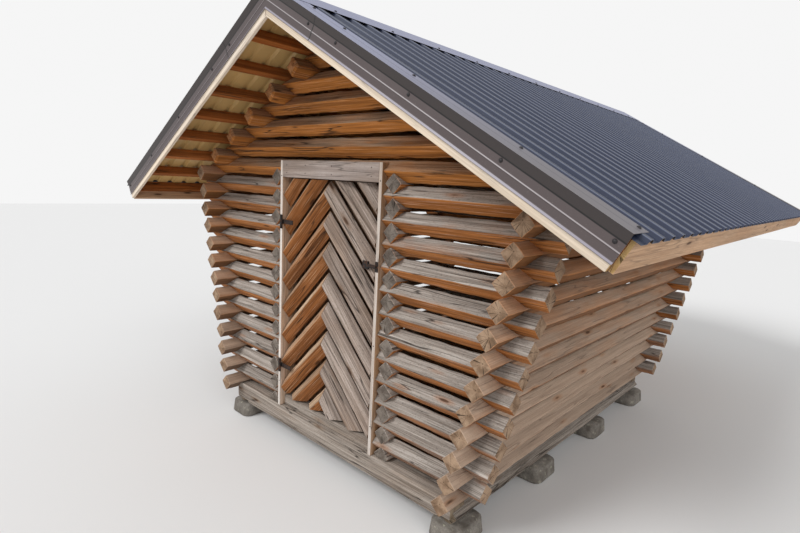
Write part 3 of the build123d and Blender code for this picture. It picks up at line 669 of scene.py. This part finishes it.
def sheet_paint():
    """The roof's paint, with painted highlights: lighter lines along both edges of each rib, where the
    distance from the nearest rib's middle is half its crest. The faces that look down have the primer,
    with painted shade, near black, in the hollows over the eave."""
    finish, slow, colour = factory_paint("dark_roof_paint", tone(42, 49, 70), tone(58, 65, 86), 0.38)
    y = finish.parts(finish.add("TexCoord").outputs["Object"])[1]
    pitches = finish.sum("FRACT", finish.sum("MULTIPLY_ADD", y, 1 / rib_pitch, 40.5))
    from_edge = finish.distance(finish.distance(pitches, 0.5), rib_half_crest / rib_pitch)
    # Painted highlight: lighter lines along both edges of each rib.
    edge_factor = finish.step(from_edge, 0.006, 0.022, 0.7, 0.0)
    colour = finish.blend(edge_factor, colour, tone(120, 127, 148))
    cream = tone(208, 172, 112)
    primer = finish.blend(finish.step(slow, 0.3, 0.7), cream, scaled(cream, 0.78))
    down = from_ridge(finish, slope_cos, -slope_sin)
    # Painted shade: the primer goes near black in the rib hollows over the eave.
    primer = finish.blend(finish.step(down, 2.44, 2.45), primer, tone(26, 24, 26))
    facing = finish.parts(finish.add("NewGeometry").outputs["Normal"])[2]
    finish.paint(finish.blend(finish.step(facing, -0.53, -0.505), primer, colour))
    return finish.material


def finish_node(name, material):
    """Gives a node whose CAD shape is right its finish."""
    piece = nodes[name]
    if not piece.material_slots:
        piece.data.materials.append(material)
    for held in piece.material_slots:
        held.material = material


roof_paint = sheet_paint()
for name in ("roof_sheet_left", "roof_sheet_right"):
    finish_node(name, roof_paint)


# Verge trims and ridge cap: folded from flat sheet in the same paint, a little browner, with painted
# shade, shadow, highlights and a painted reflection on it. A trim is screwed through its flange to the
# ribs and through its face to the barge board.
# Height over the slope, half width and colour of the painted shadow at the fold and of the painted highlights
# at the crease and the lip.
fold_painted_shadow = (0.1265, 0.0042, tone(22, 19, 19))
crease_painted_highlight = (0.0865, 0.003, tone(150, 142, 144))
lip_painted_highlight = (0.042, 0.005, tone(140, 134, 146))
trim_lap = 0.47
flange_groove = 2.9


def trim_paint():
    """The same paint, with painted shade on the face above the fold. Lines at set heights over the slope
    are a painted shadow at the fold and painted highlights at the crease and the lip, one across them
    marks where two lengths lap, and the faces that look up, the flange and the ridge cap, carry a
    painted reflection, lighter near the ridge, with a groove along the flange below the ridge cap."""
    finish, _, colour = factory_paint("dark_trim_paint", tone(84, 74, 74), tone(104, 95, 94), 0.4)
    facing = finish.parts(finish.add("NewGeometry").outputs["Normal"])[2]
    level = finish.step(facing, 0.6, 0.7)
    outer = finish.sum("SUBTRACT", 1.0, level)
    down = from_ridge(finish, slope_cos, -slope_sin)
    height = from_ridge(finish, slope_sin, slope_cos)
    # Painted shade: the face above the fold is darker.
    painted_shade_above_fold = finish.sum("MULTIPLY", finish.step(height, 0.1275, 0.1295), outer)
    colour = finish.blend(painted_shade_above_fold, colour, tone(54, 47, 46))
    for at, half, painted_light in (fold_painted_shadow, crease_painted_highlight, lip_painted_highlight):
        band = finish.step(finish.distance(height, at), half * 0.6, half, 1.0, 0.0)
        colour = finish.blend(finish.sum("MULTIPLY", band, outer), colour, painted_light)
    lap = finish.step(finish.distance(down, trim_lap), 0.0025, 0.005, 1.0, 0.0)
    colour = finish.blend(finish.sum("MULTIPLY", lap, outer), colour, tone(20, 18, 18))
    # Painted reflection on the faces that look up, the flange and the ridge cap: pale lilac near the ridge,
    # greyer lower down.
    painted_reflection = finish.blend(finish.step(down, 0.5, 2.3), tone(146, 151, 180), tone(112, 107, 112))
    colour = finish.blend(finish.sum("MULTIPLY", level, 0.85), colour, painted_reflection)
    y = finish.sum("ABSOLUTE", finish.parts(finish.add("TexCoord").outputs["Object"])[1])
    groove = finish.step(finish.distance(y, flange_groove), 0.0015, 0.003, 1.0, 0.0)
    groove = finish.sum("MULTIPLY", groove, finish.step(down, 0.2, 0.21))
    finish.paint(finish.blend(finish.sum("MULTIPLY", groove, level), colour, tone(44, 42, 50)))
    return finish.material


folded_paint = trim_paint()
for name in ("verge_trims_left", "verge_trims_right", "ridge_cap"):
    finish_node(name, folded_paint)


# Roof screws: painted hexagon heads with a washer, in the valleys over the battens, along the
# flange and the face of the trims, and along both wings of the ridge cap.
def heads(name, places, normals, radius, height, material, body, slot):
    """Domed heads. Ring k of a head is at height * level_k along its normal and radius * width_k around
    it, with a pole at the top and the lowest ring sunk in the surface."""
    places = np.asarray(places, float)
    normals = np.broadcast_to(np.asarray(normals, float), places.shape)
    sides = 8
    turn = np.arange(sides)[:, None] * 2 * math.pi / sides
    levels = np.array([-0.3, 0.25, 0.75])[:, None, None]
    widths = np.array([1.0, 1.0, 0.62])[:, None, None]
    helper = np.where(np.abs(normals[:, 2:3]) > 0.9, [[1.0, 0, 0]], [[0, 0, 1.0]])
    a = np.cross(helper, normals)
    a /= np.linalg.norm(a, axis=1, keepdims=True)
    b = np.cross(normals, a)
    ring = widths * radius * (np.cos(turn) * a[:, None, None] + np.sin(turn) * b[:, None, None])
    points = places[:, None, None] + ring + (levels * height) * normals[:, None, None]
    top = places + normals * height
    count = len(places)
    points = np.concatenate([points.reshape(count, -1, 3), top[:, None]], 1)
    per_head = points.shape[1]
    j = np.arange(sides)
    k = (j + 1) % sides
    low = np.arange(2)[:, None] * sides
    quads = np.stack([low + j, low + k, low + sides + k, low + sides + j], -1).reshape(-1, 4)
    tris = np.concatenate([
        np.stack([2 * sides + j, 2 * sides + k, np.full(sides, per_head - 1)], 1),
        np.stack([k, j, np.zeros(sides, int)], 1)[1:-1],
    ])
    shift = (np.arange(count) * per_head)[:, None, None]
    quads = (quads + shift).reshape(-1, 4)
    tris = (tris + shift).reshape(-1, 3)
    piece = {
        "points": points.reshape(-1, 3),
        "quads": quads,
        "quad_map": np.zeros((len(quads), 4, 2)),
        "tris": tris,
        "tri_map": np.zeros((len(tris), 3, 2)),
        "lot": 1.0,
    }
    set_in_place(name, [piece], [material], body, slot, sharp=45)


valleys = (np.arange(-20, 21, 2) + 0.5) * rib_pitch
valley_seat = 0.152
flange_line = 2.86
flange_seat = 0.1715
flange_screws = (0.27, 0.58, 1.18, 1.89, 2.47)
face_line = 2.977
face_seat = 0.112
face_screws = (0.42, 0.69, 1.3, 1.9, 2.46)
cap_line = 0.13
cap_seat = 0.1735
cap_screws = np.arange(-2.6, 2.7, 0.52)
screws = []
for side in (-1, 1):
    up_slope = slope_frame(side)[2]
    for n in range(batten_count):
        screws += [(on_slope(side, batten_line(n), valley_seat, y), up_slope) for y in valleys]
    for end in (-1, 1):
        screws += [(on_slope(side, s, flange_seat, end * flange_line), up_slope) for s in flange_screws]
        screws += [(on_slope(side, s, face_seat, end * face_line), (0, end, 0)) for s in face_screws]
    screws += [(on_slope(side, cap_line, cap_seat, y), up_slope) for y in cap_screws]
screw_finish = Finish("dark_screw_paint", 0.5, 0.4)
spots = screw_finish.noise(screw_finish.add("TexCoord").outputs["Object"], 60.0, 2.0)
screw_finish.paint(screw_finish.blend(spots, tone(26, 24, 26), tone(52, 48, 50)))
heads("roof_screws", *zip(*screws), 0.01, 0.0075, screw_finish.material, "building", "roof_metal")


# Door frame: jamb planks on edge and a header board nailed over the door, both gone silver grey,
# and a squared threshold timber between the jambs on the sill.
frame_wood = long_grain("frame_board_wood", tone(190, 150, 112), tone(228, 220, 212), 0.1, upward=0.1,
                        low=0.0, knots=0.4, depth_of_grain=0.001, outward=0.8, contrast=0.6)
header_wood = long_grain("header_board_wood", tone(158, 136, 118), tone(180, 168, 162), 0.7, upward=0.1,
                         low=0.0, knots=0.6, depth_of_grain=0.001, contrast=0.6)
frame_end = end_grain("frame_board_end", tone(196, 178, 152), tone(150, 128, 102))
jamb_section = rounded_section(jamb, 0.166, 0.002)
jamb_foot = 0.305
jamb_top = 2.318
left_jamb_line = opening_left - jamb / 2
right_jamb_line = opening_right + jamb / 2
for x, name in ((left_jamb_line, "door_jamb_left"), (right_jamb_line, "door_jamb_right")):
    plank = swept(jamb_section, (x, front, 0), *standing, jamb_foot, jamb_top, 0.15, 0.0004)
    set_in_place("plank_" + name, [plank], [frame_wood, frame_end], "building", "frame_wood", name)
between_jambs = (opening_left + hairline, opening_right - hairline)
header_section = rounded_section(0.015, 0.128, 0.002)
header_line = -2.4505
header_level = 2.254
header = swept(header_section, (0, header_line, header_level), *crossing, *between_jambs, 0.12, 0.0003)
set_in_place("header_board", [header], [header_wood, frame_end], "building", "frame_wood", "door_header")
threshold_section = rounded_section(0.08, 0.08, 0.005)
threshold_level = 0.345
threshold = swept(threshold_section, (0, front, threshold_level), *crossing, *between_jambs, 0.12, 0.0006)
set_in_place("threshold_timber", [threshold], [sill_wood, grey_end], "building", "sill_wood", "threshold")


# Door leaf: timbers on edge that slope down from a mitre near the middle, fixed to boards behind.
# The left half has kept its brown with pale upper edges, and the right half has gone silver grey.
leaf_left, leaf_right, leaf_bottom, leaf_top = -0.548, 0.484, 0.4, 2.184
mitre = -0.054
leaf_face = -2.452
timber_reach = 0.06788
leaf_middle = leaf_face + timber_reach
pitch = 0.16
first_apex = 2.093
smallest_offcut = 0.03
run = math.sqrt(0.5)
rise = pitch / run
door_left_wood = long_grain("door_wood_brown", tone(172, 110, 60), tone(216, 188, 158), 0.02, upward=1.3,
                            low=0.12)
door_right_wood = long_grain("door_wood_grey", tone(158, 122, 90), tone(182, 168, 158), 0.66, upward=0.35,
                             low=0.1)
door_end = end_grain("door_timber_end", tone(160, 130, 98), tone(104, 80, 58))


def door_timber(side, edge, number):
    """A timber that slopes down from the mitre. Each line of its surface runs from the mitre or the top
    edge, whichever comes later, to the outer or the bottom edge, whichever comes first."""
    along = np.array([side * run, 0, -run])
    square = np.array([side * run, 0, run])
    outward = np.array([0, float(side), 0])
    middle = np.array([mitre, leaf_middle, first_apex]) + number * pitch * square
    line = middle + edge_section[:, :1] * square + edge_section[:, 1:] * outward
    begin = np.maximum((mitre - line[:, 0]) / (side * run) + hairline, (line[:, 2] - leaf_top) / run)
    stop = np.minimum((edge - line[:, 0]) / (side * run), (line[:, 2] - leaf_bottom) / run)
    begin = np.minimum(begin, (begin + stop) / 2)
    piece = swept(edge_section, middle, along, square, outward, begin, stop, 0.06, 0.001, worn=worn_radius)
    low, high = sorted((mitre + side * hairline, edge))
    piece["points"][:, 0] = np.clip(piece["points"][:, 0], low, high)
    piece["points"][:, 2] = np.clip(piece["points"][:, 2], leaf_bottom, leaf_top)
    return piece


for side, edge, name, wood in ((-1, leaf_left, "door_timbers_left", door_left_wood),
                               (1, leaf_right, "door_timbers_right", door_right_wood)):
    top = leaf_top + abs(edge - mitre)
    highest = math.floor((top - smallest_offcut - first_apex) / rise)
    lowest = math.ceil((leaf_bottom + smallest_offcut - first_apex) / rise)
    leaf = [door_timber(side, edge, n) for n in range(lowest, highest + 1)]
    set_in_place("sloping_" + name, leaf, [wood, door_end], "door", "door_wood", name)
back_board_count = 8
back_board_pitch = 0.1285
first_back_board = leaf_left + 0.064
back_board_line = -2.3052
back_section = rounded_section(0.1235, 0.022, 0.002)
door_back_wood = long_grain("door_back_wood", tone(132, 92, 58), tone(126, 108, 90), 0.3, upward=0.1, low=0.0)
backing = [
    swept(back_section, (first_back_board + back_board_pitch * n, back_board_line, 0), *standing,
          leaf_bottom + hairline, leaf_top - hairline, 0.25, 0.0003)
    for n in range(back_board_count)
]
set_in_place("door_boards_behind", backing, [door_back_wood, door_end], "door", "door_wood",
             "door_back_boards")


# Ironwork: hinges, hasp and staple of black iron, browned by rust in patches. They are made in the
# CAD, and get their finish here.
def black_iron():
    """Old iron: near black, with rust in patches and a fine pitted surface."""
    finish = Finish("black_iron", 0.6, 0.5)
    finish.surface.inputs["Metallic"].default_value = 0.6
    place = finish.add("TexCoord").outputs["Object"]
    patches = finish.noise(place, 60.0, 5.0, 0.65)
    pits = finish.noise(place, 420.0, 3.0, 0.6)
    colour = finish.blend(finish.step(patches, 0.45, 0.7), tone(46, 43, 42), tone(98, 62, 42))
    finish.paint(finish.blend(finish.step(pits, 0.4, 0.7, 0.0, 0.4), colour, tone(30, 28, 27)))
    finish.relief(finish.sum("ADD", patches, pits), 0.0006)
    return finish.material


iron = black_iron()
for name in ("hinges_on_jamb", "door_straps", "hasp_block", "hasp_strap", "staple"):
    finish_node(name, iron)


# Nails and screws of the door: wire nails through the header and the jambs' edges, and round
# heads through the hinge straps.
toward_front = (0, -1, 0)
nail_line = -2.458
nail_places = [(x, nail_line, z) for x in (-0.5, -0.27, 0.03, 0.43) for z in (2.225, 2.283)]
nail_places += [(x, nail_line, z) for x in (left_jamb_line, right_jamb_line) for z in (0.52, 1.1, 2.2)]
heads("door_frame_nails", nail_places, toward_front, 0.0045, 0.002, iron, "building", "dark_iron")
strap_line = -2.457
strap_levels = (0.663, 1.844)
strap_screws = ((-0.515, 0), (-0.475, 0.006), (-0.435, -0.006))
strap_places = [(x, strap_line, level + off) for level in strap_levels for x, off in strap_screws]
heads("strap_screws", strap_places, toward_front, 0.005, 0.0025, iron, "door", "dark_iron")


# Studio: a pale floor, a soft even sky that the camera sees brighter than it lights, a broad soft
# key light with a weaker one from the side, and the camera where the photograph's stood.
floor_reach = 30
sky_light = 0.62
sky_seen_brighter = 0.3
camera_place = (2.851, -4.807, 2.212)
camera_turn = (42.189, -9.585, 2.916)
floor_mesh = bpy.data.meshes.new("studio_floor")
floor_corners = [(x * floor_reach, y * floor_reach, 0) for x, y in ((-1, -1), (1, -1), (1, 1), (-1, 1))]
floor_mesh.from_pydata(floor_corners, [], [(0, 1, 2, 3)])
floor = bpy.data.objects.new("studio_floor", floor_mesh)
bpy.context.scene.collection.objects.link(floor)
pale = Finish("studio_floor_paint", 0.9, 0.1)
pale.surface.inputs["Base Color"].default_value = (0.78, 0.78, 0.78, 1)
floor_mesh.materials.append(pale.material)

world = bpy.data.worlds.new("studio_sky")
bpy.context.scene.world = world
world.use_nodes = True
sky = world.node_tree
background = sky.nodes["Background"]
seen = sky.nodes.new("ShaderNodeLightPath")
strength = sky.nodes.new("ShaderNodeMath")
strength.operation = "MULTIPLY_ADD"
strength.inputs[1].default_value = sky_seen_brighter
strength.inputs[2].default_value = sky_light
sky.links.new(seen.outputs["Is Camera Ray"], strength.inputs[0])
sky.links.new(strength.outputs[0], background.inputs["Strength"])
background.inputs["Color"].default_value = (1, 1, 1, 1)

for name, turn, power, angle in (("key", (48, 0, -18), 1.7, 25), ("side", (62, 0, 70), 0.7, 40)):
    lamp = bpy.data.lights.new(name, "SUN")
    lamp.energy = power
    lamp.angle = math.radians(angle)
    holder = bpy.data.objects.new(name, lamp)
    holder.rotation_euler = tuple(math.radians(v) for v in turn)
    bpy.context.scene.collection.objects.link(holder)

yaw, lift, roll = (math.radians(v) for v in camera_turn)
forward = np.array([-math.sin(yaw) * math.cos(lift), math.cos(yaw) * math.cos(lift), math.sin(lift)])
level_right = np.cross(forward, (0, 0, 1))
level_right /= np.linalg.norm(level_right)
level_up = np.cross(level_right, forward)
right = math.cos(roll) * level_right + math.sin(roll) * level_up
above = -math.sin(roll) * level_right + math.cos(roll) * level_up
lens = bpy.data.cameras.new("photo_camera")
lens.lens = 23.03
lens.sensor_width = 36
camera = bpy.data.objects.new("photo_camera", lens)
matrix = np.eye(4)
matrix[:3] = np.stack([right, above, -forward, camera_place], 1)
camera.matrix_world = Matrix(matrix.tolist())
bpy.context.scene.collection.objects.link(camera)
bpy.context.scene.camera = camera
bpy.context.scene.view_settings.view_transform = "Standard"
